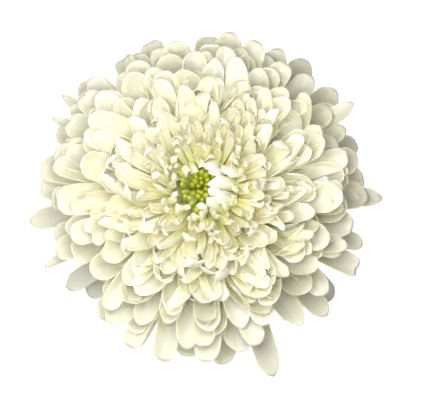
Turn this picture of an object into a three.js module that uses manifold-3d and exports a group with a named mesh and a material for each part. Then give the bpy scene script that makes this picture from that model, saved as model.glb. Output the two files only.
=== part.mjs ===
// The cut head of a white cremon chrysanthemum, face up, resting on its stub of stem and its lowest petals.
// Millimetres, +Z up. The origin is the middle of the stem's cut end, on the surface that the head rests on.
// Every ray floret (petal) springs from the receptacle at the golden angle from the one before, lowest first.

import * as THREE from "three";
import { mergeVertices } from "three/addons/utils/BufferGeometryUtils.js";
import Module from "manifold-3d";

const wasm = await Module();
wasm.setup();

const degree = Math.PI / 180;
const goldenAngle = 137.508 * degree;

// The head's driving sizes
const floretCount = 236;
const bloomRadius = 55;
const outerTipHeight = 4;
const crownHeight = 50;
const seatGap = 0.3;

// The receptacle that the petals spring from, as a flattened dome
const receptacleRadius = 10;
const receptacleRise = 13;
const receptacleHeight = 22;

// The leafy cup and the stem below the petals
const stemRadius = 3;
const stemLength = 8;
const cupTop = 14;
const cupRadius = 12.5;
const ribCount = 7;

// The rows of bracts on the cup, from the outer to the inner. Root and tip are [radius, height].
const bractRows = [
  { count: 8, offset: 0, halfWidth: 2.2, root: [3.6, 9.1], tip: [11.2, 10.6], launch: -4, tipAngle: 26 },
  { count: 9, offset: 0.3, halfWidth: 2.5, root: [4.6, 9.6], tip: [13.2, 12.6], launch: 2, tipAngle: 34 },
  { count: 10, offset: 0.6, halfWidth: 2.6, root: [6, 10.4], tip: [14.6, 14.9], launch: 10, tipAngle: 42 },
];
const bractThickness = 1;
const bractStations = [0, 0.45, 0.8];
const bractTipShare = 0.25;

// The green heart
const discSeat = 37;
const discRadius = 5.6;
const discTop = 40.5;
const budCount = 28;

const petalWhite = new THREE.MeshStandardMaterial({ color: 0xf1ead0, roughness: 0.55, metalness: 0 });
const heartGreen = new THREE.MeshStandardMaterial({ color: 0x9aa82c, roughness: 0.6, metalness: 0 });
const leafGreen = new THREE.MeshStandardMaterial({ color: 0x6f8f4a, roughness: 0.65, metalness: 0 });
const stemGreen = new THREE.MeshStandardMaterial({ color: 0x7d9a55, roughness: 0.6, metalness: 0 });

// Petals that reach past the others round the rim: where they point, how far past, and how much higher
const strayPetals = [
  { towards: 1, reach: 5, lift: 4 },
  { towards: 31, reach: 7, lift: 8 },
  { towards: 146, reach: 4, lift: 6 },
  { towards: 161, reach: 6, lift: 3 },
  { towards: 186, reach: 2, lift: 0 },
  { towards: 236, reach: 6, lift: -1 },
  { towards: 293, reach: 8, lift: -1 },
  { towards: 306, reach: 2, lift: 1 },
  { towards: 317, reach: 7, lift: 0 },
  { towards: 342, reach: 2, lift: 2 },
];
const strayReachAngle = 5 * degree;
const strayAge = 0.14;
const strayWidth = 0.8;
const strayTipShare = 0.2;

// Narrow petals that hang out past the rim from low on the receptacle
const thinPetals = [
  { towards: 144, tip: [58.5, 13], halfWidth: 2 },
  { towards: 151, tip: [56.5, 14], halfWidth: 2.3 },
  { towards: 202, tip: [57.5, 8], halfWidth: 2.2 },
];
const thinRoot = [9.8, 20];
const thinLaunch = -0.1;
const thinTipAngle = -0.3;

// Three low petals that touch the surface, round the head's weight
const restingPetals = [74, 214, 325];
const restingReachAngle = 4.5 * degree;
const restingTipHeight = -0.6;
const lowPetalCount = 40;

// Young petals that lean over the heart, each with the direction that it springs in
const leaningPetals = [
  { towards: 40, root: [8.5, 33], tip: [2.6, 46], halfWidth: 2.4 },
  { towards: 2, root: [11, 32], tip: [0.4, 47.6], halfWidth: 2.9 },
  { towards: -24, root: [11, 31], tip: [3.4, 48], halfWidth: 2.6 },
  { towards: -55, root: [9.5, 33], tip: [3, 46.5], halfWidth: 2.2 },
  { towards: 24, root: [12, 31], tip: [5.6, 48.5], halfWidth: 2.7 },
  { towards: -92, root: [8.5, 33], tip: [5.2, 45.5], halfWidth: 2.1 },
];
const leaningLaunch = 80 * degree;
const leaningCurl = 158 * degree;

// A petal's thickness, and where its sections lie along it: more of them on the long outer petals
const petalThickness = 0.9;
const outerAge = 0.16;
const middleAge = 0.22;
const outerStations = [0.04, 0.5, 0.78, 0.93];
const middleStations = [0.1, 0.56, 0.86];
const innerStations = [0.1, 0.8];
const outerTipShare = 0.5;
const innerTipShare = 0.6;

// How deep the petals are hollowed, and how far they turn and sway, next to petals as thin as real ones
const hollowShare = 0.2;
const turnShare = 0.5;

const mix = (a, b, t) => a + (b - a) * t;
const smooth = (t) => t * t * (3 - 2 * t);
const ease = (low, high, value) => smooth(Math.min(1, Math.max(0, (value - low) / (high - low))));

// A repeatable draw from 0 to 1, the same wherever the rule is run
function makeDraw(seed) {
  let state = seed;
  return () => {
    state = (state * 48271) % 2147483647;
    return state / 2147483647;
  };
}

const turnBetween = (a, b) => Math.abs(Math.atan2(Math.sin(a - b), Math.cos(a - b)));

function stationsFor(age) {
  if (age < outerAge) return outerStations;
  return age < middleAge ? middleStations : innerStations;
}

// The petals in order, from the lowest and outermost to the ones round the green heart. Share is a petal's reach as
// a share of the head's radius. The outer petals are broad and nearly flat. The inner ones are narrow: they leave the
// receptacle low, turn up at their tips, and differ more in reach, turn and sway.
function floretRule() {
  const draw = makeDraw(20028);
  const spread = (size) => (draw() * 2 - 1) * size;
  const florets = [];
  for (let i = 0; i < floretCount; i++) {
    const age = i / (floretCount - 1);
    const young = ease(0.2, 0.7, age);
    const share = 1 - 0.85 * Math.pow(age, 1.35);
    const dome = Math.pow(1 - Math.pow(share, 2.4), 0.75);
    const dip = 5 * Math.exp(-Math.pow(share / 0.25, 2));
    const rootAngle = mix(100, 28, age) * degree;
    const floret = { azimuth: i * goldenAngle + spread(4 * degree) };
    let tipRadius = bloomRadius * share * (1 + spread(mix(0.04, 0.16, young)));
    let tipHeight = mix(outerTipHeight, crownHeight, dome) - dip + spread(mix(1.8, 2.8, young));
    const incurve = spread(14 * degree) * (1 + 2 * age);
    floret.halfWidth = (1.3 + 3.6 * ease(0.22, 0.8, share)) * (1 + spread(0.16));
    floret.cup = (mix(0.8, 1.1, ease(0.1, 0.6, age)) + spread(0.3)) * hollowShare;
    floret.hood = mix(0.8, 1.2, ease(0.05, 0.4, age)) * (1 + spread(0.5)) * hollowShare;
    floret.roll = spread(mix(12, 50, young) * degree) * turnShare;
    floret.twist = spread(mix(12, 45, young) * degree) * turnShare;
    floret.sway = spread(mix(0.5, 2.4, young)) * turnShare;
    floret.stations = stationsFor(age);
    floret.tipShare = age < outerAge ? outerTipShare : innerTipShare;
    for (const stray of strayPetals) {
      const near = turnBetween(floret.azimuth, stray.towards * degree) < strayReachAngle;
      if (age >= strayAge || !near) continue;
      floret.azimuth = stray.towards * degree;
      tipRadius += stray.reach * (0.6 + 0.4 * draw());
      tipHeight += stray.lift;
      floret.halfWidth *= strayWidth;
      floret.tipShare = strayTipShare;
    }
    for (const towards of restingPetals) {
      const near = turnBetween(floret.azimuth, towards * degree) < restingReachAngle;
      if (i >= lowPetalCount || !near) continue;
      tipHeight = restingTipHeight;
      floret.cup = 0;
      floret.hood = 0;
    }
    floret.root = [
      receptacleRadius * Math.sin(rootAngle),
      receptacleHeight + receptacleRise * Math.cos(rootAngle),
    ];
    floret.tip = [tipRadius, tipHeight];
    const chordAngle = Math.atan2(tipHeight - floret.root[1], tipRadius - floret.root[0]);
    const bend = (mix(14, -14, Math.min(1, age * 2.2)) - 30 * ease(0.3, 0.8, age)) * degree;
    floret.launch = chordAngle + bend;
    floret.tipAngle = chordAngle - bend * 0.5 + mix(2, 18, ease(0.15, 0.7, age)) * degree + incurve;
    florets.push(floret);
  }
  return florets;
}

// The narrow petals past the rim, and the young ones that lean over the green heart
const straight = { roll: 0, twist: 0, sway: 0, hood: 0 };

function thinRule() {
  return thinPetals.map(({ towards, tip, halfWidth }) => ({
    ...straight,
    azimuth: towards * degree,
    root: thinRoot,
    tip,
    halfWidth,
    launch: thinLaunch,
    tipAngle: thinTipAngle,
    cup: 0.9 * hollowShare,
    stations: outerStations,
    tipShare: strayTipShare,
  }));
}

function leaningRule() {
  return leaningPetals.map(({ towards, root, tip, halfWidth }) => ({
    ...straight,
    azimuth: towards * degree,
    root,
    tip,
    halfWidth,
    launch: leaningLaunch,
    tipAngle: leaningCurl,
    cup: 0.8 * hollowShare,
    hood: 0.4 * hollowShare,
    stations: middleStations,
    tipShare: innerTipShare,
  }));
}

// A petal's midline in the upright plane through the stem: a cubic curve from root to tip
function midline(floret, along) {
  const [r0, z0] = floret.root;
  const [r3, z3] = floret.tip;
  const chord = Math.hypot(r3 - r0, z3 - z0);
  const r1 = r0 + Math.cos(floret.launch) * chord * 0.38;
  const z1 = z0 + Math.sin(floret.launch) * chord * 0.38;
  const r2 = r3 - Math.cos(floret.tipAngle) * chord * 0.36;
  const z2 = z3 - Math.sin(floret.tipAngle) * chord * 0.36;
  const back = 1 - along;
  const w = [back ** 3, 3 * back * back * along, 3 * back * along * along, along ** 3];
  const d = [back * back, 2 * back * along, along * along];
  const r = w[0] * r0 + w[1] * r1 + w[2] * r2 + w[3] * r3;
  const z = w[0] * z0 + w[1] * z1 + w[2] * z2 + w[3] * z3;
  const dr = d[0] * (r1 - r0) + d[1] * (r2 - r1) + d[2] * (r3 - r2);
  const dz = d[0] * (z1 - z0) + d[1] * (z2 - z1) + d[2] * (z3 - z2);
  const size = Math.hypot(dr, dz);
  return { r, z, dr: dr / size, dz: dz / size };
}

// Half the blade's width along its length, as a share of the widest place
const clawWidth = 0.45;
const widestPlace = 0.64;
const shoulderWidth = 0.9;
function widthShare(along) {
  const past = Math.max(0, (along - widestPlace) / (1 - widestPlace));
  return mix(clawWidth, 1, ease(0, widestPlace, along)) - (1 - shoulderWidth) * past * past;
}

// The point on a blade at a station along it, across it from -1 to 1, and raised off its middle face
const hoodStart = 0.68;
function bladePoint(floret, along, across, halfWidth, raise) {
  const c = midline(floret, along);
  const turn = floret.roll * along + floret.twist * along * along;
  const hooded = Math.max(0, (along - hoodStart) / (1 - hoodStart));
  const side = halfWidth * across + floret.sway * floret.halfWidth * along * along;
  const lift = floret.cup * halfWidth * across * across + floret.hood * floret.halfWidth * hooded * hooded;
  const up = lift + raise;
  const width = side * Math.cos(turn) - up * Math.sin(turn);
  const height = side * Math.sin(turn) + up * Math.cos(turn);
  const radial = c.r - c.dz * height;
  const z = c.z + c.dr * height;
  const cos = Math.cos(floret.azimuth);
  const sin = Math.sin(floret.azimuth);
  return [radial * cos - width * sin, radial * sin + width * cos, z];
}

// A closed blade: four-sided sections with sharp edges and an arched middle, and a blunt tip
function bladeSolid(floret, thickness) {
  const { stations, tipShare } = floret;
  const points = [];
  const triangles = [];
  for (const along of stations) {
    const halfWidth = floret.halfWidth * widthShare(along);
    points.push(bladePoint(floret, along, -1, halfWidth, 0));
    points.push(bladePoint(floret, along, 0, halfWidth, thickness / 2));
    points.push(bladePoint(floret, along, 1, halfWidth, 0));
    points.push(bladePoint(floret, along, 0, halfWidth, -thickness / 2));
  }
  points.push(bladePoint(floret, 1, -1, floret.halfWidth * tipShare, 0));
  points.push(bladePoint(floret, 1, 1, floret.halfWidth * tipShare, 0));
  triangles.push([0, 1, 2], [0, 2, 3]);
  const last = (stations.length - 1) * 4;
  for (let k = 0; k < last; k += 4) {
    const [l, t, r, b] = [k, k + 1, k + 2, k + 3];
    const [l2, t2, r2, b2] = [k + 4, k + 5, k + 6, k + 7];
    triangles.push([l, l2, t2], [l, t2, t], [t, t2, r], [r, t2, r2]);
    triangles.push([r, r2, b2], [r, b2, b], [b, b2, l], [l, b2, l2]);
  }
  const [l, t, r, b] = [last, last + 1, last + 2, last + 3];
  const [p, q] = [last + 4, last + 5];
  triangles.push([l, p, t], [t, p, q], [t, q, r]);
  triangles.push([l, b, p], [b, q, p], [b, r, q]);
  return solidFrom(new Float32Array(points.flat()), new Uint32Array(triangles.flat()));
}

function solidFrom(vertProperties, triVerts) {
  return new wasm.Manifold(new wasm.Mesh({ numProp: 3, vertProperties, triVerts }));
}

function solidOf(geometry) {
  geometry.deleteAttribute("normal");
  geometry.deleteAttribute("uv");
  const merged = mergeVertices(geometry, 1e-4);
  return solidFrom(merged.attributes.position.array, new Uint32Array(merged.index.array));
}

// A shape turned round Z, from its outline as [radius, height] points, bottom first
function turned(outline, sides) {
  const points = outline.map(([r, z]) => new THREE.Vector2(r, z));
  return new THREE.LatheGeometry(points, sides).rotateX(Math.PI / 2);
}

// The largest single body of a union, as a mesh with plain facets
function meshOf(solid, name, material) {
  const whole = solid.decompose().sort((a, b) => b.volume() - a.volume())[0];
  const { numProp, vertProperties, triVerts } = whole.getMesh();
  const geometry = new THREE.BufferGeometry();
  const positions = new Float32Array((vertProperties.length / numProp) * 3);
  for (let i = 0; i < positions.length / 3; i++) {
    for (let k = 0; k < 3; k++) positions[3 * i + k] = vertProperties[numProp * i + k];
  }
  geometry.setAttribute("position", new THREE.BufferAttribute(positions, 3));
  geometry.setIndex(new THREE.BufferAttribute(triVerts, 1));
  const mesh = new THREE.Mesh(geometry, material);
  mesh.name = name;
  return mesh;
}

// The body that the petals' roots are sunk in
function petalCore() {
  const outline = [
    [0, cupTop + seatGap],
    [12, cupTop + seatGap],
    [18, 20],
    [17, 29],
    [8, discSeat - 0.8],
    [0, discSeat],
  ];
  return solidOf(turned(outline, 9));
}

// The room that the petals leave round the green heart
function heartRoom() {
  const radius = discRadius + 1.1;
  const side = discTop + 3.2;
  const top = discTop + 4.2;
  return solidOf(turned([[0, discSeat], [radius, discSeat], [radius, side], [0, top]], 12));
}

function rayFlorets() {
  const florets = [...floretRule(), ...thinRule(), ...leaningRule()];
  const blades = florets.map((floret) => bladeSolid(floret, petalThickness));
  const bloom = wasm.Manifold.union([petalCore(), ...blades]).subtract(heartRoom());
  return meshOf(bloom.trimByPlane([0, 0, 1], 0), "ray_florets", petalWhite);
}

// The green heart: closed buds at the golden angle on a low mound, the youngest in the middle
function discFlorets() {
  const bottom = discSeat + seatGap;
  const moundOutline = [[0, bottom], [discRadius, bottom], [discRadius * 0.85, bottom + 2], [0, discTop]];
  const mound = solidOf(turned(moundOutline, 10));
  const buds = [];
  for (let i = 0; i < budCount; i++) {
    const share = Math.sqrt((i + 0.5) / budCount);
    const distance = share * discRadius * 0.84;
    const width = mix(0.95, 1.35, share);
    const height = mix(3.4, 5.4, share);
    const outline = [[0, 0], [width * 0.7, 0], [width, height * 0.62], [0, height]];
    const bud = turned(outline, 5);
    bud.rotateZ(i);
    bud.rotateY(share * 14 * degree);
    bud.translate(distance, 0, mix(discTop, bottom + 2, share * share) - 1.1);
    bud.rotateZ(i * goldenAngle);
    buds.push(solidOf(bud));
  }
  return meshOf(wasm.Manifold.union([mound, ...buds]), "disc_florets", heartGreen);
}

// The leafy cup under the petals: a bowl clad in three rows of overlapping bracts
function involucre() {
  const bottom = stemLength + seatGap;
  const bowl = solidOf(
    turned([[0, bottom], [3.6, bottom], [8, 9.6], [11.3, 12], [cupRadius, cupTop], [0, cupTop]], 18),
  );
  const bracts = [];
  for (const row of bractRows) {
    for (let i = 0; i < row.count; i++) {
      const bract = {
        ...straight,
        azimuth: ((i + row.offset) / row.count) * 2 * Math.PI,
        halfWidth: row.halfWidth,
        cup: 0.3,
        root: row.root,
        tip: row.tip,
        launch: row.launch * degree,
        tipAngle: row.tipAngle * degree,
        stations: bractStations,
        tipShare: bractTipShare,
      };
      bracts.push(bladeSolid(bract, bractThickness));
    }
  }
  return meshOf(wasm.Manifold.union([bowl, ...bracts]), "involucre", leafGreen);
}

// A stub of ribbed stem with a flat cut end
function stem() {
  const outline = new THREE.Shape();
  const corners = ribCount * 2;
  for (let i = 0; i < corners; i++) {
    const radius = i % 2 ? stemRadius * 0.86 : stemRadius;
    const turn = (i / corners) * 2 * Math.PI;
    const place = [radius * Math.cos(turn), radius * Math.sin(turn)];
    if (i === 0) outline.moveTo(...place);
    else outline.lineTo(...place);
  }
  const stub = new THREE.ExtrudeGeometry(outline, { depth: stemLength, bevelEnabled: false });
  return meshOf(solidOf(stub), "stem", stemGreen);
}

const head = new THREE.Group();
head.add(rayFlorets(), discFlorets(), involucre(), stem());

export default head;
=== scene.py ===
# A cut white cremon chrysanthemum head, face up: petals, green heart, leafy cup and stub of stem.
# Metres, +Z up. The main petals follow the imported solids' spiral rule and draws. Here they are thinner,
# deeper cupped and a little wider, and smaller petals stand between them.

import math

import bpy
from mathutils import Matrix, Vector


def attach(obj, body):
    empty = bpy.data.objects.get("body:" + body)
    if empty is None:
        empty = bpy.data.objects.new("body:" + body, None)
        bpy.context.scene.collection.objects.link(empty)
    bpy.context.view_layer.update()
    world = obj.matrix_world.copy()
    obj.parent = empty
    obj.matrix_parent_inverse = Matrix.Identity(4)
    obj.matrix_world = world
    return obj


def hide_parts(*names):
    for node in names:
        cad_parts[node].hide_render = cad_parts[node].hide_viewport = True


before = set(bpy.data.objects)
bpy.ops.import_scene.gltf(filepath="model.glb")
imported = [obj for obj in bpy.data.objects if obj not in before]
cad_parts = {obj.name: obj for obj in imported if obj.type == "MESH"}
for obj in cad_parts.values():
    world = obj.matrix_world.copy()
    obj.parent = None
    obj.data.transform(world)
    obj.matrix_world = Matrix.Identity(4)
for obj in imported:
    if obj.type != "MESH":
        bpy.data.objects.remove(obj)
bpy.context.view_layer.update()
mm = 0.001
degree = math.pi / 180
goldenAngle = 137.508 * degree
print("chrysanthemum: frame loaded")


# Small sums and draws


def mix(a, b, t):
    return a + (b - a) * t


def ease(low, high, value):
    t = min(1, max(0, (value - low) / (high - low)))
    return t * t * (3 - 2 * t)


def makeDraw(seed):
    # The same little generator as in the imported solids, so that both make the same flower
    state, multiplier, modulus = [seed], 48271, 2147483647

    def draw():
        state[0] = state[0] * multiplier % modulus
        return state[0] / modulus

    return draw


def turnBetween(a, b):
    return abs(math.atan2(math.sin(a - b), math.cos(a - b)))


# Meshes


def link(obj):
    bpy.context.scene.collection.objects.link(obj)
    return obj


def meshObject(name, vertices, faces, material):
    mesh = bpy.data.meshes.new(name)
    mesh.from_pydata(vertices, [], faces)
    mesh.polygons.foreach_set("use_smooth", [True] * len(mesh.polygons))
    mesh.materials.append(material)
    return link(bpy.data.objects.new(name, mesh))


def turnedObject(name, outline, sides, material, ribs=0, ribDepth=0):
    # A closed turned form, perhaps ribbed; its outline runs upwards from axis to axis, in millimetres
    vertices, faces = [], []
    for radius, height in outline[1:-1]:
        for i in range(sides):
            turn = i / sides * math.tau
            reach = radius * (1 + ribDepth * math.cos(ribs * turn)) * mm
            vertices.append((reach * math.cos(turn), reach * math.sin(turn), height * mm))
    for ring in range(len(outline) - 3):
        for i in range(sides):
            a, b = ring * sides + i, ring * sides + (i + 1) % sides
            faces.append((a, b, b + sides, a + sides))
    last = (len(outline) - 3) * sides
    vertices += [(0, 0, outline[0][1] * mm), (0, 0, outline[-1][1] * mm)]
    for i in range(sides):
        j = (i + 1) % sides
        faces += [(len(vertices) - 2, j, i), (len(vertices) - 1, last + i, last + j)]
    return meshObject(name, vertices, faces, material)


def pointsWith(name, rows):
    # A mesh of loose points, one for each row, that carries the row's values for the node trees to read
    mesh = bpy.data.meshes.new(name)
    mesh.from_pydata([(0, 0, 0)] * len(rows), [], [])
    for key, value in rows[0].items():
        isVector = isinstance(value, tuple)
        attribute = mesh.attributes.new(key, "FLOAT_VECTOR" if isVector else "FLOAT", "POINT")
        flat = [x for row in rows for x in (row[key] if isVector else (row[key],))]
        attribute.data.foreach_set("vector" if isVector else "value", flat)
    return link(bpy.data.objects.new(name, mesh))


# Node trees


class Field:
    # A number or vector that differs from place to place, so that a tree's sums read as sums
    def __init__(self, tree, socket):
        self.tree = tree
        self.socket = socket

    def math(self, operation, *others):
        node = self.tree.nodes.new("ShaderNodeMath")
        node.operation = operation
        for place, value in enumerate((self, *others)):
            plug(self.tree, value, node.inputs[place])
        return Field(self.tree, node.outputs[0])

    def __add__(self, other):
        return self.math("ADD", other)

    def __sub__(self, other):
        return self.math("SUBTRACT", other)

    def __rsub__(self, other):
        return self.math("MULTIPLY", -1) + other

    def __mul__(self, other):
        return self.math("MULTIPLY", other)

    def __truediv__(self, other):
        return self.math("DIVIDE", other)

    def __pow__(self, other):
        return self.math("POWER", other)

    def __abs__(self):
        return self.math("ABSOLUTE")

    def clamped(self, low=0, high=1):
        return self.math("MAXIMUM", low).math("MINIMUM", high)

    __radd__ = __add__
    __rmul__ = __mul__


def plug(tree, value, socket):
    if isinstance(value, Field):
        tree.links.new(value.socket, socket)
    else:
        socket.default_value = value


def vectorMath(tree, operation, *values):
    node = tree.nodes.new("ShaderNodeVectorMath")
    node.operation = operation
    for place, value in enumerate(values):
        isScale = operation == "SCALE" and place == 1
        plug(tree, value, node.inputs["Scale"] if isScale else node.inputs[place])
    return Field(tree, node.outputs[0])


def partsOf(tree, vector):
    node = tree.nodes.new("ShaderNodeSeparateXYZ")
    plug(tree, vector, node.inputs[0])
    return [Field(tree, socket) for socket in node.outputs]


def vectorOf(tree, *parts):
    node = tree.nodes.new("ShaderNodeCombineXYZ")
    for part, socket in zip(parts, node.inputs):
        plug(tree, part, socket)
    return Field(tree, node.outputs[0])


def turnedAbout(tree, axis, vector, angle):
    node = tree.nodes.new("ShaderNodeVectorRotate")
    node.rotation_type = axis
    plug(tree, vector, node.inputs["Vector"])
    plug(tree, angle, node.inputs["Angle"])
    return Field(tree, node.outputs[0])


def step(tree, kind, geometry, **inputs):
    # Adds a geometry node after the given geometry, and gives back the geometry that it makes
    node = tree.nodes.new(kind)
    tree.links.new(geometry, node.inputs[0])
    for label, value in inputs.items():
        plug(tree, value, node.inputs[label])
    return node.outputs[0]


def named(tree, *names, kind="FLOAT"):
    fields = []
    for name in names:
        node = tree.nodes.new("GeometryNodeInputNamedAttribute")
        node.data_type = kind
        node.inputs["Name"].default_value = name
        fields.append(Field(tree, node.outputs["Attribute"]))
    return fields


def store(tree, geometry, name, value):
    node = tree.nodes.new("GeometryNodeStoreNamedAttribute")
    tree.links.new(geometry, node.inputs["Geometry"])
    node.inputs["Name"].default_value = name
    plug(tree, value, node.inputs["Value"])
    return node.outputs[0]


def newTree(name, inputs):
    # A tree with a geometry in and out, and a named input for each size
    tree = bpy.data.node_groups.new(name, "GeometryNodeTree")
    tree.interface.new_socket("Geometry", in_out="INPUT", socket_type="NodeSocketGeometry")
    for label, kind, value in inputs:
        socket = tree.interface.new_socket(label, in_out="INPUT", socket_type=kind)
        if value is not None:
            socket.default_value = value
    tree.interface.new_socket("Geometry", in_out="OUTPUT", socket_type="NodeSocketGeometry")
    return tree, tree.nodes.new("NodeGroupInput").outputs, tree.nodes.new("NodeGroupOutput").inputs


def finishTree(tree, geometry, given, made):
    # Smooths, shades and paints the realised pieces
    geometry = step(tree, "GeometryNodeSubdivisionSurface", geometry)
    geometry = step(tree, "GeometryNodeSetShadeSmooth", geometry)
    geometry = step(tree, "GeometryNodeSetMaterial", geometry, Material=Field(tree, given["Material"]))
    tree.links.new(geometry, made[0])
    return tree


def grow(source, tree, name, values):
    # Runs a tree on its points and keeps the result as a plain mesh
    modifier = source.modifiers.new(tree.name, "NODES")
    modifier.node_group = tree
    sockets = {s.name: s.identifier for s in tree.interface.items_tree if s.in_out == "INPUT"}
    for label, value in values.items():
        modifier[sockets[label]] = value
    bpy.context.view_layer.update()
    depsgraph = bpy.context.evaluated_depsgraph_get()
    mesh = bpy.data.meshes.new_from_object(source.evaluated_get(depsgraph))
    mesh.name = name
    bpy.data.objects.remove(source)
    return link(bpy.data.objects.new(name, mesh))


bladeForm = {
    "rowPower": 1.25,  # above 1, the rows of faces crowd towards the tip
    "roundPower": 2.4,  # how square a round tip is
    "roundRoot": 0.42,
    "pointPower": 1.3,  # how straight the sides of a pointed tip are
    "rimPower": 4,  # how late along the blade the rim's shape starts to tell
    "notchRate": 3,  # the notch takes up a third of the width
    "hoodFrom": 0.68,
    "grooveTurn": 9.42,  # radians from the midline to the edge
    "waveTurn": 13,  # radians from root to tip
    "edgePower": 4,  # how close to the edge the blade keeps its thickness
    "tipPower": 12,
    "rootTaper": 50,
    "riseShare": 0.38,  # shares of the chord from either end to the curve's inner points
    "bendShare": 0.36,
    "tipShare": 1.05,  # length of the tip for each half width
}


def bladeTree():
    # For each point, two faces of a thin blade that meet at the rim, bent along a cubic curve from root
    # to tip, cupped, grooved, hooded, waved, rolled and turned to the blade's own direction
    form = bladeForm
    tree, given, made = newTree(
        "growBlades",
        [
            ("Rows", "NodeSocketInt", 7),
            ("Columns", "NodeSocketInt", 5),
            ("Thickness", "NodeSocketFloat", 0.45 * mm),
            ("Claw Width", "NodeSocketFloat", 0.45),
            ("Widest Place", "NodeSocketFloat", 0.64),
            ("Shoulder Width", "NodeSocketFloat", 0.84),
            ("Material", "NodeSocketMaterial", None),
        ],
    )
    names = ("Thickness", "Claw Width", "Widest Place", "Shoulder Width")
    thickness, claw, widest, shoulder = (Field(tree, given[n]) for n in names)

    both = tree.nodes.new("GeometryNodeJoinGeometry")
    for side in (1, -1):
        grid = tree.nodes.new("GeometryNodeMeshGrid")
        tree.links.new(given["Rows"], grid.inputs["Vertices X"])
        tree.links.new(given["Columns"], grid.inputs["Vertices Y"])
        face = grid.outputs["Mesh"]
        if side < 0:
            face = step(tree, "GeometryNodeFlipFaces", face)
        tree.links.new(store(tree, face, "face", side), both.inputs[0])
    position = Field(tree, tree.nodes.new("GeometryNodeInputPosition").outputs[0])
    row, column, _ = partsOf(tree, position)
    blade = store(tree, both.outputs[0], "along", 1 - (0.5 - row).clamped() ** form["rowPower"])
    blade = store(tree, blade, "across", column * 2)
    copies = tree.nodes.new("GeometryNodeInstanceOnPoints")
    tree.links.new(given["Geometry"], copies.inputs["Points"])
    tree.links.new(blade, copies.inputs["Instance"])
    whole = step(tree, "GeometryNodeRealizeInstances", copies.outputs[0])

    along, across, face, azimuth = named(tree, "along", "across", "face", "azimuth")
    halfWidth, cup, fold, hood = named(tree, "halfWidth", "cup", "fold", "hood")
    roll, twist, sway, wave = named(tree, "roll", "twist", "sway", "wave")
    phase, groove = named(tree, "phase", "groove")
    notch, tipLength, pointed = named(tree, "notch", "tipLength", "pointed")
    spread = abs(across)

    # The rim: the blade ends sooner towards its edges, in a round or a pointed tip with a small notch
    roundTip = 1 - (1 - spread ** form["roundPower"]).clamped() ** form["roundRoot"]
    rim = roundTip + pointed * (spread ** form["pointPower"] - roundTip)
    rim = tipLength * rim + notch * (1 - spread * form["notchRate"]).clamped() ** 2
    s = along - rim * along ** form["rimPower"]
    # How wide the blade is there
    grown = (s / widest).clamped()
    grown = grown * grown * (3 - grown * 2)
    past = ((s - widest) / (1 - widest)).clamped()
    width = halfWidth * (claw + (1 - claw) * grown - (1 - shoulder) * past * past)
    side = width * across + sway * halfWidth * s * s
    # How far it stands off its midline: cup, keel, grooves, hood, waved edge, and half its own thickness
    bowl = across * across + fold * (spread - across * across)
    hooded = ((s - form["hoodFrom"]) / (1 - form["hoodFrom"])).clamped()
    lift = cup * width * bowl + hood * halfWidth * hooded * hooded
    lift = lift + groove * halfWidth * grown * (across * form["grooveTurn"]).math("COSINE")
    lift = lift + wave * halfWidth * spread**3 * (s * form["waveTurn"] + phase + across).math("SINE")
    body = (1 - across ** form["edgePower"]) * (1 - along ** form["tipPower"])
    body = body * (along * form["rootTaper"]).clamped()
    up = lift + face * body * thickness * 0.5
    turn = roll * s + twist * s * s
    cosine, sine = turn.math("COSINE"), turn.math("SINE")
    # The midline and its slope
    points = named(tree, "rootPoint", "risePoint", "bendPoint", "tipPoint", kind="FLOAT_VECTOR")
    rest = 1 - s
    weights = (rest * rest * rest, rest * rest * s * 3, rest * s * s * 3, s * s * s)
    middle = vectorMath(tree, "SCALE", points[0], weights[0])
    for point, weight in zip(points[1:], weights[1:]):
        middle = vectorMath(tree, "ADD", middle, vectorMath(tree, "SCALE", point, weight))
    slopes = (rest * rest, rest * s * 2, s * s)
    legs = [
        vectorMath(tree, "SCALE", vectorMath(tree, "SUBTRACT", later, sooner), weight)
        for sooner, later, weight in zip(points, points[1:], slopes)
    ]
    tangent = vectorMath(tree, "ADD", vectorMath(tree, "ADD", legs[0], legs[1]), legs[2])
    normal = vectorMath(tree, "CROSS_PRODUCT", vectorMath(tree, "NORMALIZE", tangent), (0, 1, 0))
    spot = vectorMath(tree, "ADD", middle, vectorOf(tree, 0, side * cosine - up * sine, 0))
    spot = vectorMath(tree, "ADD", spot, vectorMath(tree, "SCALE", normal, side * sine + up * cosine))

    spot = turnedAbout(tree, "Z_AXIS", spot, azimuth)
    moved = step(tree, "GeometryNodeSetPosition", whole, Position=spot)
    closed = step(tree, "GeometryNodeMergeByDistance", moved, Distance=0.0005 * mm)
    return finishTree(tree, closed, given, made)


def bladeRow(azimuth, root, tip, launch, tipAngle, halfWidth, age, **shape):
    # The values that every blade has, in metres, from a curve given in millimetres as (radius, height)
    near, far = bladeForm["riseShare"], bladeForm["bendShare"]
    chord = math.hypot(tip[0] - root[0], tip[1] - root[1])
    rise = (root[0] + math.cos(launch) * chord * near, root[1] + math.sin(launch) * chord * near)
    bend = (tip[0] - math.cos(tipAngle) * chord * far, tip[1] - math.sin(tipAngle) * chord * far)
    points = zip(("rootPoint", "risePoint", "bendPoint", "tipPoint"), (root, rise, bend, tip))
    row = {name: (p[0] * mm, 0.0, p[1] * mm) for name, p in points}
    row |= {"azimuth": azimuth, "halfWidth": halfWidth * mm, "age": age}
    row["tipLength"] = bladeForm["tipShare"] * halfWidth / chord
    row |= dict.fromkeys(("cup", "fold", "hood", "roll", "twist", "sway", "wave"), 0.0)
    row |= dict.fromkeys(("phase", "notch", "pointed", "groove", "tint"), 0.0)
    return row | shape


# Materials


def newMaterial(name, roughness):
    material = bpy.data.materials.new(name)
    material.use_nodes = True
    shader = material.node_tree.nodes["Principled BSDF"]
    shader.inputs["Roughness"].default_value = roughness
    return material, material.node_tree, shader


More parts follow.
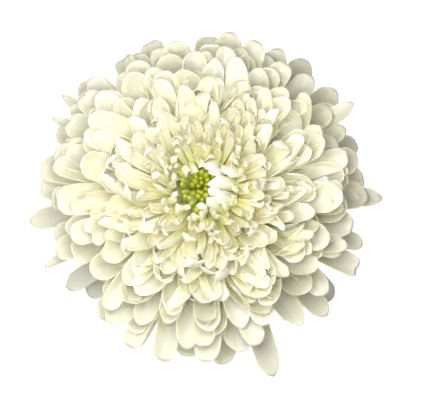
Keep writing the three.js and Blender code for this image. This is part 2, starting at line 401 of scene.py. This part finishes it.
def letThrough(shader, share, radius, scale):
    # Soft flesh that light passes into
    shader.inputs["Subsurface Weight"].default_value = share
    shader.inputs["Subsurface Radius"].default_value = radius
    shader.inputs["Subsurface Scale"].default_value = scale


def attributeOf(tree, name):
    node = tree.nodes.new("ShaderNodeAttribute")
    node.attribute_name = name
    return Field(tree, node.outputs["Fac"])


def rampOf(tree, factor, stops):
    node = tree.nodes.new("ShaderNodeValToRGB")
    elements = node.color_ramp.elements
    while len(elements) < len(stops):
        elements.new(0.5)
    for element, (place, color) in zip(elements, stops):
        element.position = place
        element.color = (*color, 1)
    plug(tree, factor, node.inputs[0])
    return Field(tree, node.outputs[0])


def blend(tree, factor, a, b, mode="MIX"):
    node = tree.nodes.new("ShaderNodeMix")
    node.data_type = "RGBA"
    node.blend_type = mode
    for value, socket in ((factor, node.inputs[0]), (a, node.inputs[6]), (b, node.inputs[7])):
        plug(tree, (*value, 1) if isinstance(value, tuple) else value, socket)
    return Field(tree, node.outputs[2])


def newEffect(name, inputs, outputs):
    # A shader node group, with named inputs and outputs
    tree = bpy.data.node_groups.new(name, "ShaderNodeTree")
    for label, value in inputs.items():
        socket = tree.interface.new_socket(label, in_out="INPUT", socket_type="NodeSocketFloat")
        socket.default_value = value
    for label in outputs:
        tree.interface.new_socket(label, in_out="OUTPUT", socket_type="NodeSocketFloat")
    return tree, tree.nodes.new("NodeGroupInput").outputs, tree.nodes.new("NodeGroupOutput").inputs


def useEffect(tree, effect, **values):
    node = tree.nodes.new("ShaderNodeGroup")
    node.node_tree = effect
    for label, value in values.items():
        node.inputs[label].default_value = value
    return [Field(tree, socket) for socket in node.outputs]


def softMottleEffect():
    # Uneven flesh: a mask from 0 to 1 that drifts over the piece
    tree, given, made = newEffect("softMottle", {"Scale": 200.0, "Detail": 3.0}, ("Mask",))
    place = tree.nodes.new("ShaderNodeTexCoord").outputs["Object"]
    noise = tree.nodes.new("ShaderNodeTexNoise")
    tree.links.new(place, noise.inputs["Vector"])
    tree.links.new(given["Scale"], noise.inputs["Scale"])
    tree.links.new(given["Detail"], noise.inputs["Detail"])
    mask = ((Field(tree, noise.outputs[0]) - 0.3) / 0.4).clamped()
    tree.links.new(mask.socket, made["Mask"])
    return tree


def fineVeinsEffect():
    # Fine ribs that run the length of a blade and fade towards its claw
    tree, given, made = newEffect("fineVeins", {"Ribs": 14.0}, ("Height",))
    across, along = attributeOf(tree, "across"), attributeOf(tree, "along")
    waves = (across * Field(tree, given["Ribs"]) * math.pi).math("COSINE")
    height = (waves * 0.5 + 0.5) * (along * 2 - 0.5).clamped()
    tree.links.new(height.socket, made["Height"])
    return tree


softMottle = softMottleEffect()
fineVeins = fineVeinsEffect()


def bumpFrom(tree, shader, height, distance):
    node = tree.nodes.new("ShaderNodeBump")
    node.inputs["Strength"].default_value = 1
    node.inputs["Distance"].default_value = distance
    plug(tree, height, node.inputs["Height"])
    tree.links.new(node.outputs[0], shader.inputs["Normal"])


petalFinish = {
    "roughness": 0.48,
    "lengthwise": [  # yellow-green at the claw, through cream, to nearly white at the tip: the claw's own yellow-green, deepened by painted shade towards the claw, where the petals lie deep in the bloom
        (0.05, (0.72, 0.73, 0.28)),
        (0.32, (0.87, 0.85, 0.53)),
        (0.6, (0.95, 0.935, 0.79)),
        (0.8, (0.98, 0.975, 0.9)),
        (1, (0.99, 0.985, 0.94)),
    ],
    "tinted": (0.95, 0.93, 0.82),  # each petal a little differently
    "mottled": (0.96, 0.95, 0.85),
    "aged": (0.925, 0.93, 0.87),  # painted shade that greys and darkens the outer petals, up to the age where it fades out
    "agedUntil": 0.9,
    "agedSpan": 0.7,
    "fresh": (0.8, 0.84, 0.45),  # the innermost petals, from this age on
    "freshFrom": 0.88,
    "freshSpan": 0.12,
    "veinDepth": 0.08 * mm,
    "lightRadius": (1, 0.85, 0.5),
    "lightDepth": 0.5 * mm,
}


def petalMaterial():
    finish = petalFinish
    material, tree, shader = newMaterial("creamPetal", finish["roughness"])
    along, age, tint = (attributeOf(tree, n) for n in ("along", "age", "tint"))
    # Painted shade: the ramp darkens and yellows each petal towards its claw, on top of the claw's own
    # yellow-green
    color = rampOf(tree, along, finish["lengthwise"])
    (mottle,) = useEffect(tree, softMottle, Scale=120, Detail=2)
    color = blend(tree, tint * 0.5, color, finish["tinted"], "MULTIPLY")
    color = blend(tree, mottle * 0.25, color, finish["mottled"], "MULTIPLY")
    # Painted shade: the outer petals, low under the others, are greyed and darkened
    rimShaded = ((finish["agedUntil"] - age) / finish["agedSpan"]).clamped()
    color = blend(tree, rimShaded, color, finish["aged"], "MULTIPLY")
    young = ((age - finish["freshFrom"]) / finish["freshSpan"]).clamped()
    color = blend(tree, young * 0.45, color, finish["fresh"])
    plug(tree, color, shader.inputs["Base Color"])
    (veins,) = useEffect(tree, fineVeins, Ribs=5)
    bumpFrom(tree, shader, veins * mottle, finish["veinDepth"])
    letThrough(shader, 1, finish["lightRadius"], finish["lightDepth"])
    shader.subsurface_method = "BURLEY"
    return material


leafFinish = {
    "roughness": 0.62,
    "lengthwise": [(0, (0.12, 0.2, 0.05)), (0.6, (0.16, 0.26, 0.07)), (1, (0.28, 0.36, 0.14))],
    "mottled": (0.22, 0.32, 0.12),
    "edge": (0.5, 0.5, 0.3),  # a dry pale margin
    "edgeFrom": 0.8,
    "edgeSpan": 0.2,
    "veinDepth": 0.12 * mm,
    "down": 0.35,
}


def leafMaterial():
    finish = leafFinish
    material, tree, shader = newMaterial("downyLeafGreen", finish["roughness"])
    along, across = attributeOf(tree, "along"), attributeOf(tree, "across")
    (mottle,) = useEffect(tree, softMottle, Scale=350)
    (veins,) = useEffect(tree, fineVeins, Ribs=5)
    color = rampOf(tree, along, finish["lengthwise"])
    color = blend(tree, mottle * 0.5, color, finish["mottled"])
    edge = ((abs(across) - finish["edgeFrom"]) / finish["edgeSpan"]).clamped()
    color = blend(tree, edge * 0.7, color, finish["edge"])
    plug(tree, color, shader.inputs["Base Color"])
    bumpFrom(tree, shader, veins + mottle * 0.5, finish["veinDepth"])
    shader.inputs["Sheen Weight"].default_value = finish["down"]
    return material


stemFinish = {
    "roughness": 0.6,
    "skin": (0.17, 0.26, 0.08),
    "mottled": (0.27, 0.36, 0.14),
    "cut": (0.42, 0.5, 0.22),
    "cutHeight": 0.15,  # millimetres
    "pith": (0.74, 0.74, 0.52),
    "pithRadius": 1.4,
    "pithFade": 0.5,
    "grain": 0.08 * mm,
    "down": 0.3,
}


def stemMaterial():
    finish = stemFinish
    material, tree, shader = newMaterial("ribbedStemGreen", finish["roughness"])
    (mottle,) = useEffect(tree, softMottle, Scale=420)
    place = Field(tree, tree.nodes.new("ShaderNodeTexCoord").outputs["Object"])
    x, y, z = partsOf(tree, place)
    radius = (x * x + y * y).math("SQRT")
    pith = 1 - ((radius / mm - finish["pithRadius"]) / finish["pithFade"]).clamped()
    cut = 1 - (z / (finish["cutHeight"] * mm)).clamped()
    color = blend(tree, mottle * 0.6, finish["skin"], finish["mottled"])
    color = blend(tree, cut, color, finish["cut"])
    color = blend(tree, cut * pith, color, finish["pith"])
    plug(tree, color, shader.inputs["Base Color"])
    bumpFrom(tree, shader, mottle, finish["grain"])
    shader.inputs["Sheen Weight"].default_value = finish["down"]
    return material


budFinish = {
    "roughness": 0.42,
    # nearly black at a bud's foot, as painted shade in the gaps between the buds, to the buds' own
    # yellow-green at the top
    "lengthwise": [(0.3, (0.05, 0.07, 0.002)), (0.7, (0.28, 0.33, 0.01)), (1, (0.6, 0.62, 0.06))],
    "pale": (0.72, 0.76, 0.24),
    "mottled": (0.36, 0.38, 0.03),
    "grain": 0.05 * mm,
    "lightRadius": (1, 0.9, 0.3),
    "lightDepth": 1.5 * mm,
}


def budMaterial():
    finish = budFinish
    material, tree, shader = newMaterial("budGreen", finish["roughness"])
    along, tint = attributeOf(tree, "along"), attributeOf(tree, "tint")
    (mottle,) = useEffect(tree, softMottle, Scale=500)
    # Painted shade: each bud is darkened to nearly black towards its foot
    color = rampOf(tree, along, finish["lengthwise"])
    color = blend(tree, tint * 0.8, color, finish["pale"])
    color = blend(tree, mottle * 0.3, color, finish["mottled"])
    plug(tree, color, shader.inputs["Base Color"])
    bumpFrom(tree, shader, mottle, finish["grain"])
    letThrough(shader, 0.5, finish["lightRadius"], finish["lightDepth"])
    return material


petalWhite = petalMaterial()
leafGreen = leafMaterial()
stemGreen = stemMaterial()
budGreen = budMaterial()
blades = bladeTree()
print("chrysanthemum: materials and blade tree")


# Petals

# Millimetres and degrees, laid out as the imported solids; a petal's age runs from 0 at the rim to 1 inside
petals = {
    "count": 236,
    "seed": 20028,
    "finishSeed": 911,
    "bloomRadius": 55,
    "shortening": 0.85,  # share of the radius that the innermost petals lack
    "shorteningPower": 1.35,
    "outerTipHeight": 4,
    "crownHeight": 50,
    "domePower": 2.4,
    "domeRoot": 0.75,
    "dipDepth": 5,  # the hollow over the heart, and how far out it reaches
    "dipShare": 0.25,
    "receptacleRadius": 10,
    "receptacleRise": 13,
    "receptacleHeight": 22,
    "rootAngles": (100, 28),  # down from the receptacle's top, outermost and innermost
    "azimuthScatter": 4,
    "narrowest": 1.3,  # half widths
    "broadening": 3.9,
    "broadShares": (0.22, 0.8),
    "widthScatter": 0.16,
    "cupScatter": 0.3,
    "hoodScatter": 0.5,
    "incurve": 14,  # scatter of the tip's angle, three times as much at the heart
    "archTurn": (14, -14),  # outer petals arch over, middle ones curve up, as soon as the rate says
    "archRate": 2.2,
    "byAge": {  # outer value, inner value, and the ages between which the one becomes the other
        "reachScatter": (0.04, 0.16, 0.2, 0.7),
        "heightScatter": (1.8, 2.8, 0.2, 0.7),
        "cup": (0.8, 1.1, 0.1, 0.6),
        "hood": (0.8, 1.2, 0.05, 0.4),
        "roll": (12, 50, 0.2, 0.7),
        "twist": (12, 45, 0.2, 0.7),
        "sway": (0.5, 2.4, 0.2, 0.7),
        "innerTurn": (0, 30, 0.3, 0.8),
        "tipTurn": (2, 18, 0.15, 0.7),
        "pointed": (0.2, 0.6, 0.45, 0.85),
    },
    "pointedScatter": 0.35,
    "fold": 0.1,
    "foldScatter": 0.25,
    "groove": 0.03,
    "waveScatter": 0.17,
    "notch": 0.05,
    "tipStretch": (0.9, 1.7),  # of a round and of a pointed tip
    "strayShare": 0.14,
    "strayAngle": 5,
    "strayReach": (0.6, 0.4),  # the part of it that is sure and the part that is drawn
    "strayWidth": 0.8,
    "restingTipHeight": -0.6,
    "restingAngle": 4.5,
    "restingCount": 40,
    "restingCup": 0.1,
    "fillCount": 245,  # petals between the others, too many for the solids; most of them young and small
    "fillFromAge": 0.12,
    "fillPower": 0.7,
    "fillScatter": 20,
    "fillWidth": 0.87,
    "openTowards": 230,  # the side where the green heart lies open to view
    "openAngle": 55,
    "openAge": 0.9,
    "coreOutline": [(0, 14.3), (11, 14.3), (12, 20), (10, 29), (6, 36), (5.4, 37), (0, 37)],
    "coreSides": 36,
}
strayPetals = (  # where a long petal points in degrees, how far past the others it reaches, how much higher
    (1, 5, 4),
    (31, 7, 8),
    (146, 4, 6),
    (161, 6, 3),
    (186, 2, 0),
    (236, 6, -1),
    (293, 8, -1),
    (306, 2, 1),
    (317, 7, 0),
    (342, 2, 2),
)
restingPetals = (74, 214, 325)  # where the low petals that touch the floor point

# Petals with places of their own: direction in degrees, then root, tip and half width in millimetres.
# What is drawn goes that far either way, or for phase and tint up from 0, in the order of the draws.
thinPetals = {  # narrow ones that reach past the rim
    "age": 0.05,
    "launch": -0.1,
    "curl": -0.3,
    "tipStretch": 2.5,
    "shape": {"cup": 0.9, "fold": 0.6, "pointed": 1},
    "drawn": {"roll": 25 * degree, "twist": 30 * degree, "sway": 1, "wave": 0.2, "phase": 6, "tint": 1},
    "places": (
        (144, (9.8, 20), (58.5, 13), 2),
        (151, (9.8, 20), (56.5, 14), 2.3),
        (202, (9.8, 20), (57.5, 8), 2.2),
    ),
}
youngPetals = {  # hooded ones that stand close round the heart
    "age": 0.98,
    "launch": 70 * degree,
    "curl": 115 * degree,
    "tipStretch": 1.2,
    "shape": {"cup": 1.5, "hood": 1, "fold": 0.2, "pointed": 0.5},
    "drawn": {"wave": 0.15, "phase": 6, "roll": 35 * degree, "twist": 35 * degree, "sway": 0.8, "tint": 1},
    "places": (
        (78, (8, 33), (5.6, 44.5), 1.5),
        (101, (8.6, 33), (6.4, 45), 1.7),
        (122, (9, 33), (5.8, 44), 2),
        (143, (8.6, 33), (7.2, 45.5), 1.8),
        (160, (10, 33), (8.2, 44), 1.8),
        (181, (10.6, 33), (9.8, 45), 1.8),
        (203, (11.4, 33), (10.4, 45.5), 1.6),
        (224, (11.8, 33), (10.8, 44.5), 1.9),
        (247, (11.4, 33), (10.2, 44.8), 1.7),
        (265, (10.4, 33), (8.6, 44), 1.9),
    ),
}
leaningPetals = {  # young ones that lean over the heart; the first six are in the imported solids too
    "age": 0.85,
    "launch": 80 * degree,
    "curl": 158 * degree,
    "tipStretch": 1.6,
    "shape": {"cup": 0.8, "hood": 0.4, "fold": 0.8, "pointed": 1, "tint": 0.1},
    "drawn": {"wave": 0.25, "phase": 6, "roll": 40 * degree, "twist": 40 * degree, "sway": 1},
    "places": (
        (40, (8.5, 33), (2.6, 46), 2.4),
        (2, (11, 32), (0.4, 47.6), 2.9),
        (-24, (11, 31), (3.4, 48), 2.6),
        (-55, (9.5, 33), (3, 46.5), 2.2),
        (24, (12, 31), (5.6, 48.5), 2.7),
        (-92, (8.5, 33), (5.2, 45.5), 2.1),
        (62, (9.5, 33), (3.4, 45.8), 2.2),
        (-40, (9, 33), (1.2, 45.4), 2.3),
        (-72, (9.5, 33), (3.6, 44.6), 2),
    ),
}


def petalRows():
    size = petals
    draw = makeDraw(size["seed"])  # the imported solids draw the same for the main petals
    finish = makeDraw(size["finishSeed"])

    def spread(amount):
        return (draw() * 2 - 1) * amount

    def vary(amount):
        return (finish() * 2 - 1) * amount

    def byAge(key, age):
        outer, inner, low, high = size["byAge"][key]
        return mix(outer, inner, ease(low, high, age))

    def petalAt(age, azimuth, isLow=False):
        share = 1 - size["shortening"] * age ** size["shorteningPower"]
        tipRadius = size["bloomRadius"] * share * (1 + spread(byAge("reachScatter", age)))
        dome = (1 - share ** size["domePower"]) ** size["domeRoot"]
        dip = size["dipDepth"] * math.exp(-((share / size["dipShare"]) ** 2))
        tipHeight = mix(size["outerTipHeight"], size["crownHeight"], dome) - dip
        tipHeight += spread(byAge("heightScatter", age))
        rootAngle = mix(*size["rootAngles"], age) * degree
        rootRadius = size["receptacleRadius"] * math.sin(rootAngle)
        root = (rootRadius, size["receptacleHeight"] + size["receptacleRise"] * math.cos(rootAngle))
        incurve = spread(size["incurve"] * degree) * (1 + 2 * age)
        halfWidth = size["narrowest"] + size["broadening"] * ease(*size["broadShares"], share)
        halfWidth *= 1 + spread(size["widthScatter"])
        cup = byAge("cup", age) + spread(size["cupScatter"])
        hood = byAge("hood", age) * (1 + spread(size["hoodScatter"]))
        roll = spread(byAge("roll", age) * degree)
        twist = spread(byAge("twist", age) * degree)
        sway = spread(byAge("sway", age))
        isStray = False
        for towards, reach, lift in strayPetals:
            near = turnBetween(azimuth, towards * degree) < size["strayAngle"] * degree
            if age < size["strayShare"] and near:
                azimuth = towards * degree
                tipRadius += reach * (size["strayReach"][0] + size["strayReach"][1] * draw())
                tipHeight += lift
                halfWidth *= size["strayWidth"]
                isStray = True
        for towards in restingPetals:
            near = turnBetween(azimuth, towards * degree) < size["restingAngle"] * degree
            if isLow and near:
                tipHeight, cup, hood = size["restingTipHeight"], size["restingCup"], 0.0
        tip = (tipRadius, tipHeight)
        chordAngle = math.atan2(tip[1] - root[1], tip[0] - root[0])
        arch = mix(*size["archTurn"], min(1, age * size["archRate"]))
        bendAngle = (arch - byAge("innerTurn", age)) * degree
        launch = chordAngle + bendAngle
        tipAngle = chordAngle - bendAngle * 0.5 + byAge("tipTurn", age) * degree + incurve
        shape = {"cup": cup, "hood": hood, "roll": roll, "twist": twist, "sway": sway}
        if isStray:
            shape["pointed"] = 1
        else:
            shape["pointed"] = min(1, max(0, byAge("pointed", age) + vary(size["pointedScatter"])))
        shape["fold"] = size["fold"] + vary(size["foldScatter"])
        shape["wave"] = vary(size["waveScatter"])
        shape["phase"] = finish() * math.tau
        shape["notch"] = size["notch"] * finish() ** 2
        shape |= {"groove": size["groove"], "tint": finish()}
        row = bladeRow(azimuth, root, tip, launch, tipAngle, halfWidth, age, **shape)
        row["tipLength"] *= mix(*size["tipStretch"], row["pointed"])
        return row

    def placedPetals(group):
        placed = []
        for towards, root, tip, halfWidth in group["places"]:
            shape = dict(group["shape"])
            for key, amount in group["drawn"].items():
                shape[key] = finish() * amount if key in ("phase", "tint") else vary(amount)
            launch, curl, age = group["launch"], group["curl"], group["age"]
            row = bladeRow(towards * degree, root, tip, launch, curl, halfWidth, age, **shape)
            row["tipLength"] *= group["tipStretch"]
            placed.append(row)
        return placed

    rows = []
    for i in range(size["count"]):
        azimuth = i * goldenAngle + spread(size["azimuthScatter"] * degree)
        rows.append(petalAt(i / (size["count"] - 1), azimuth, i < size["restingCount"]))
    for i in range(size["fillCount"]):
        age = mix(size["fillFromAge"], 1, (i / (size["fillCount"] - 1)) ** size["fillPower"])
        row = petalAt(age, (i + 0.5) * goldenAngle + vary(size["fillScatter"] * degree))
        row["halfWidth"] *= size["fillWidth"]
        isOpenSide = turnBetween(row["azimuth"], size["openTowards"] * degree) < size["openAngle"] * degree
        if age < size["openAge"] or not isOpenSide:
            rows.append(row)
    for group in (thinPetals, youngPetals, leaningPetals):
        rows += placedPetals(group)
    return rows


def bloomPieces():
    bloom = grow(pointsWith("petalPoints", petalRows()), blades, "petals", {"Material": petalWhite})
    # With no along or age values, the core takes the claw's colour with its painted shade, and the outer
    # petals' painted shade, all over
    core = turnedObject("petalBases", petals["coreOutline"], petals["coreSides"], petalWhite)
    for piece in (bloom, core):
        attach(piece, "root")
        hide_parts("ray_florets")
    print("chrysanthemum: petals,", len(bloom.data.polygons), "faces")


bloomPieces()


# Heart: closed buds on a low mound, the outer ones larger and paler

heart = {  # millimetres and degrees; each pair is for the middle and the outside, or the least and the most
    "seed": 77,
    "budCount": 34,
    "seat": 37,
    "radius": 5.6,
    "top": 40.5,
    "widths": (2.1, 3.3),
    "widthScatter": (0.75, 1.1),
    "heights": (3, 5),
    "heightScatter": (0.75, 1.25),
    "standing": 0.35,  # share of its height that a bud's middle stands above the mound
    "outermost": 0.9,  # share of the radius that the buds take up
    "reachScatter": (0.9, 1.05),
    "azimuthScatter": 0.35,  # radians
    "leans": (-5, 12),
    "leanScatter": (-12, 12),
    "paleFrom": 0.6,
    "paling": 1.6,
    "openCount": 9,  # large pale buds, about to open, on one side
    "openTowards": (150, 275),
    "openScatter": 0.6,
    "openReach": (5.6, 7.6),
    "openMiddle": (40, 41.4),
    "openWidths": (2.4, 3),
    "openHeights": (6, 8),
    "openLeans": (5, 38),
    "openTints": (0.4, 1),
    "moundLift": 0.3,
    "moundSides": 24,
}


def budTree():
    # A pointed egg with five folds at its tip for each point
    inputs = [("Folds", "NodeSocketFloat", 0.14), ("Material", "NodeSocketMaterial", None)]
    tree, given, made = newTree("growBuds", inputs)
    ball = tree.nodes.new("GeometryNodeMeshUVSphere")
    ball.inputs["Segments"].default_value = 10
    ball.inputs["Rings"].default_value = 6
    ball.inputs["Radius"].default_value = 1
    position = Field(tree, tree.nodes.new("GeometryNodeInputPosition").outputs[0])
    x, y, z = partsOf(tree, position)
    bud = store(tree, ball.outputs["Mesh"], "along", z * 0.5 + 0.5)
    turn = y.math("ARCTAN2", x)
    folds = 1 + Field(tree, given["Folds"]) * (turn * 5).math("COSINE") * (z * 0.8 + 0.4).clamped()
    taper = folds * (1 - z * 0.34)
    bud = step(tree, "GeometryNodeSetPosition", bud, Position=vectorOf(tree, x * taper, y * taper, z))
    copies = tree.nodes.new("GeometryNodeInstanceOnPoints")
    tree.links.new(given["Geometry"], copies.inputs["Points"])
    tree.links.new(bud, copies.inputs["Instance"])
    whole = step(tree, "GeometryNodeRealizeInstances", copies.outputs[0])
    width, height, lean, azimuth = named(tree, "width", "height", "lean", "azimuth")
    (place,) = named(tree, "place", kind="FLOAT_VECTOR")
    spot = vectorMath(tree, "MULTIPLY", position, vectorOf(tree, width * 0.5, width * 0.5, height * 0.5))
    spot = turnedAbout(tree, "Y_AXIS", spot, lean)
    spot = turnedAbout(tree, "Z_AXIS", vectorMath(tree, "ADD", spot, place), azimuth)
    moved = step(tree, "GeometryNodeSetPosition", whole, Position=spot)
    return finishTree(tree, moved, given, made)


def budRow(azimuth, reach, middle, width, height, lean, tint):
    row = {"azimuth": azimuth, "place": (reach * mm, 0.0, middle * mm), "width": width * mm}
    return row | {"height": height * mm, "lean": lean * degree, "tint": tint}


def budRows():
    draw = makeDraw(heart["seed"])

    def drawn(key):
        return mix(*heart[key], draw())

    rows = []
    for i in range(heart["budCount"]):
        share = math.sqrt((i + 0.5) / heart["budCount"])
        height = mix(*heart["heights"], share) * drawn("heightScatter")
        surface = heart["seat"] + (heart["top"] - heart["seat"]) * (1 - share**2)
        middle = surface + height * heart["standing"]
        azimuth = i * goldenAngle + draw() * heart["azimuthScatter"]
        reach = share * heart["radius"] * heart["outermost"] * drawn("reachScatter")
        width = mix(*heart["widths"], share) * drawn("widthScatter")
        lean = mix(*heart["leans"], share) + drawn("leanScatter")
        tint = max(0, share - heart["paleFrom"]) * heart["paling"] * draw()
        rows.append(budRow(azimuth, reach, middle, width, height, lean, tint))
    for i in range(heart["openCount"]):
        way = (i + draw() * heart["openScatter"]) / heart["openCount"]
        azimuth = mix(*heart["openTowards"], way) * degree
        keys = ("openReach", "openMiddle", "openWidths", "openHeights", "openLeans", "openTints")
        rows.append(budRow(azimuth, *[drawn(key) for key in keys]))
    return rows


def heartPieces():
    buds = grow(pointsWith("budPoints", budRows()), budTree(), "buds", {"Material": budGreen})
    top, seat, radius = heart["top"], heart["seat"] + heart["moundLift"], heart["radius"]
    outline = [(0, seat), (radius * 0.9, seat), (radius, seat + 0.6), (radius * 0.6, top - 0.9), (0, top)]
    # With no along values, the mound takes the nearly black painted shade of the buds' feet all over
    mound = turnedObject("heartMound", outline, heart["moundSides"], budGreen)
    for piece in (buds, mound):
        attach(piece, "root")
        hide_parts("disc_florets")
    print("chrysanthemum: heart,", len(buds.data.polygons), "faces")


heartPieces()


# Leafy cup: a bowl clad in three rows of overlapping bracts

leafyCup = {  # millimetres
    "seed": 404,
    "bottom": 8.3,
    "top": 14,
    "radius": 12.5,
    "sides": 36,
    "thickness": 0.7,
    "clawWidth": 0.75,  # shares of the bract's half width and length
    "widestPlace": 0.5,
    "shape": {"cup": 0.3, "pointed": 0.6, "fold": 0.5, "wave": 0.04},
}
bractRows = (  # count, turn, half width, root and tip as radius and height, launch and tip angle
    (8, 0, 2.2, (3.6, 9.1), (11.2, 10.6), -4, 26),
    (9, 0.3, 2.5, (4.6, 9.6), (13.2, 12.6), 2, 34),
    (10, 0.6, 2.6, (6, 10.4), (14.6, 14.9), 10, 42),
)


def cupPieces():
    rows = []
    draw = makeDraw(leafyCup["seed"])
    for count, offset, halfWidth, root, tip, launch, tipAngle in bractRows:
        for i in range(count):
            azimuth = (i + offset) / count * math.tau
            shape = leafyCup["shape"] | {"phase": draw() * 6, "tint": draw()}
            row = bladeRow(azimuth, root, tip, launch * degree, tipAngle * degree, halfWidth, 0.0, **shape)
            rows.append(row)
    values = {"Material": leafGreen, "Thickness": leafyCup["thickness"] * mm}
    values |= {"Claw Width": leafyCup["clawWidth"], "Widest Place": leafyCup["widestPlace"]}
    bracts = grow(pointsWith("bractPoints", rows), blades, "bracts", values)
    bottom, top, radius = leafyCup["bottom"], leafyCup["top"], leafyCup["radius"]
    outline = [(0, bottom), (3.6, bottom), (5, 8.6), (8, 9.7), (11.3, 12), (radius, top), (0, top)]
    bowl = turnedObject("bractBowl", outline, leafyCup["sides"], leafGreen)
    for piece in (bracts, bowl):
        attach(piece, "root")
        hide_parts("involucre")
    print("chrysanthemum: leafy cup,", len(bracts.data.polygons), "faces")


cupPieces()


# Stem: a ribbed stub with a flat cut end

stem = {"radius": 2.8, "length": 8, "ribs": 7, "ribDepth": 0.07, "sides": 56}  # millimetres


def stemPiece():
    radius, length = stem["radius"], stem["length"]
    outline = [(0, 0), (radius * 0.97, 0), (radius, 0.1), (radius * 0.99, 3), (radius, 6)]
    outline += [(radius, length), (0, length)]
    stub = turnedObject("stemStub", outline, stem["sides"], stemGreen, stem["ribs"], stem["ribDepth"])
    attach(stub, "root")
    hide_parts("stem")
    print("chrysanthemum: stem")


stemPiece()


# Floor, light and camera

studio = {  # metres and degrees
    "floorHalf": 3,
    "floorShade": 0.7,
    "floorGlow": 1,
    "skyStrength": 0.265,
    "keyPlace": (-0.8, -0.06, 0.55),
    "keySize": 1.5,
    "keyPower": 3.5,
    "topPlace": (-0.01, -0.01, 0.17),
    "topSize": 0.08,
    "topPower": 0.17,
    "lampAim": (0, 0, 0.03),
    "diffuseBounces": 8,  # light passes between many petals before it leaves
    "cameraAim": (0.0018, -0.0027, 0.022),
    "cameraElevation": 82.5,
    "cameraDistance": 0.5,
    "cameraLens": 138,
}


def studioFloor():
    half = studio["floorHalf"]
    corners = [(-half, -half, 0), (half, -half, 0), (half, half, 0), (-half, half, 0)]
    material, tree, shader = newMaterial("paleFloor", 0.9)
    shader.inputs["Base Color"].default_value = (studio["floorShade"],) * 3 + (1,)
    shader.inputs["Emission Color"].default_value = (1, 1, 1, 1)
    seen = Field(tree, tree.nodes.new("ShaderNodeLightPath").outputs["Is Camera Ray"])
    plug(tree, seen * studio["floorGlow"], shader.inputs["Emission Strength"])
    meshObject("floor", corners, [(0, 1, 2, 3)], material)


def pointAt(obj, target):
    obj.rotation_euler = (Vector(target) - obj.location).to_track_quat("-Z", "Y").to_euler()


def studioLight():
    world = bpy.data.worlds.new("studioSky")
    world.use_nodes = True
    sky = world.node_tree.nodes["Background"]
    sky.inputs["Color"].default_value = (1, 1, 1, 1)
    sky.inputs["Strength"].default_value = studio["skyStrength"]
    bpy.context.scene.world = world
    for name in ("key", "top"):
        lamp = bpy.data.lights.new(name + "Light", "AREA")
        lamp.size = studio[name + "Size"]
        lamp.energy = studio[name + "Power"]
        softbox = link(bpy.data.objects.new(name + "Light", lamp))
        softbox.location = studio[name + "Place"]
        pointAt(softbox, studio["lampAim"])


def studioCamera():
    camera = link(bpy.data.objects.new("camera", bpy.data.cameras.new("camera")))
    camera.data.lens = studio["cameraLens"]
    tilt = studio["cameraElevation"] * degree
    aim = Vector(studio["cameraAim"])
    camera.location = aim + Vector((0, -math.cos(tilt), math.sin(tilt))) * studio["cameraDistance"]
    pointAt(camera, aim)
    bpy.context.scene.camera = camera


studioFloor()
studioLight()
studioCamera()
bpy.context.scene.view_settings.view_transform = "Standard"
bpy.context.scene.cycles.diffuse_bounces = studio["diffuseBounces"]
print("chrysanthemum: floor, light and camera")
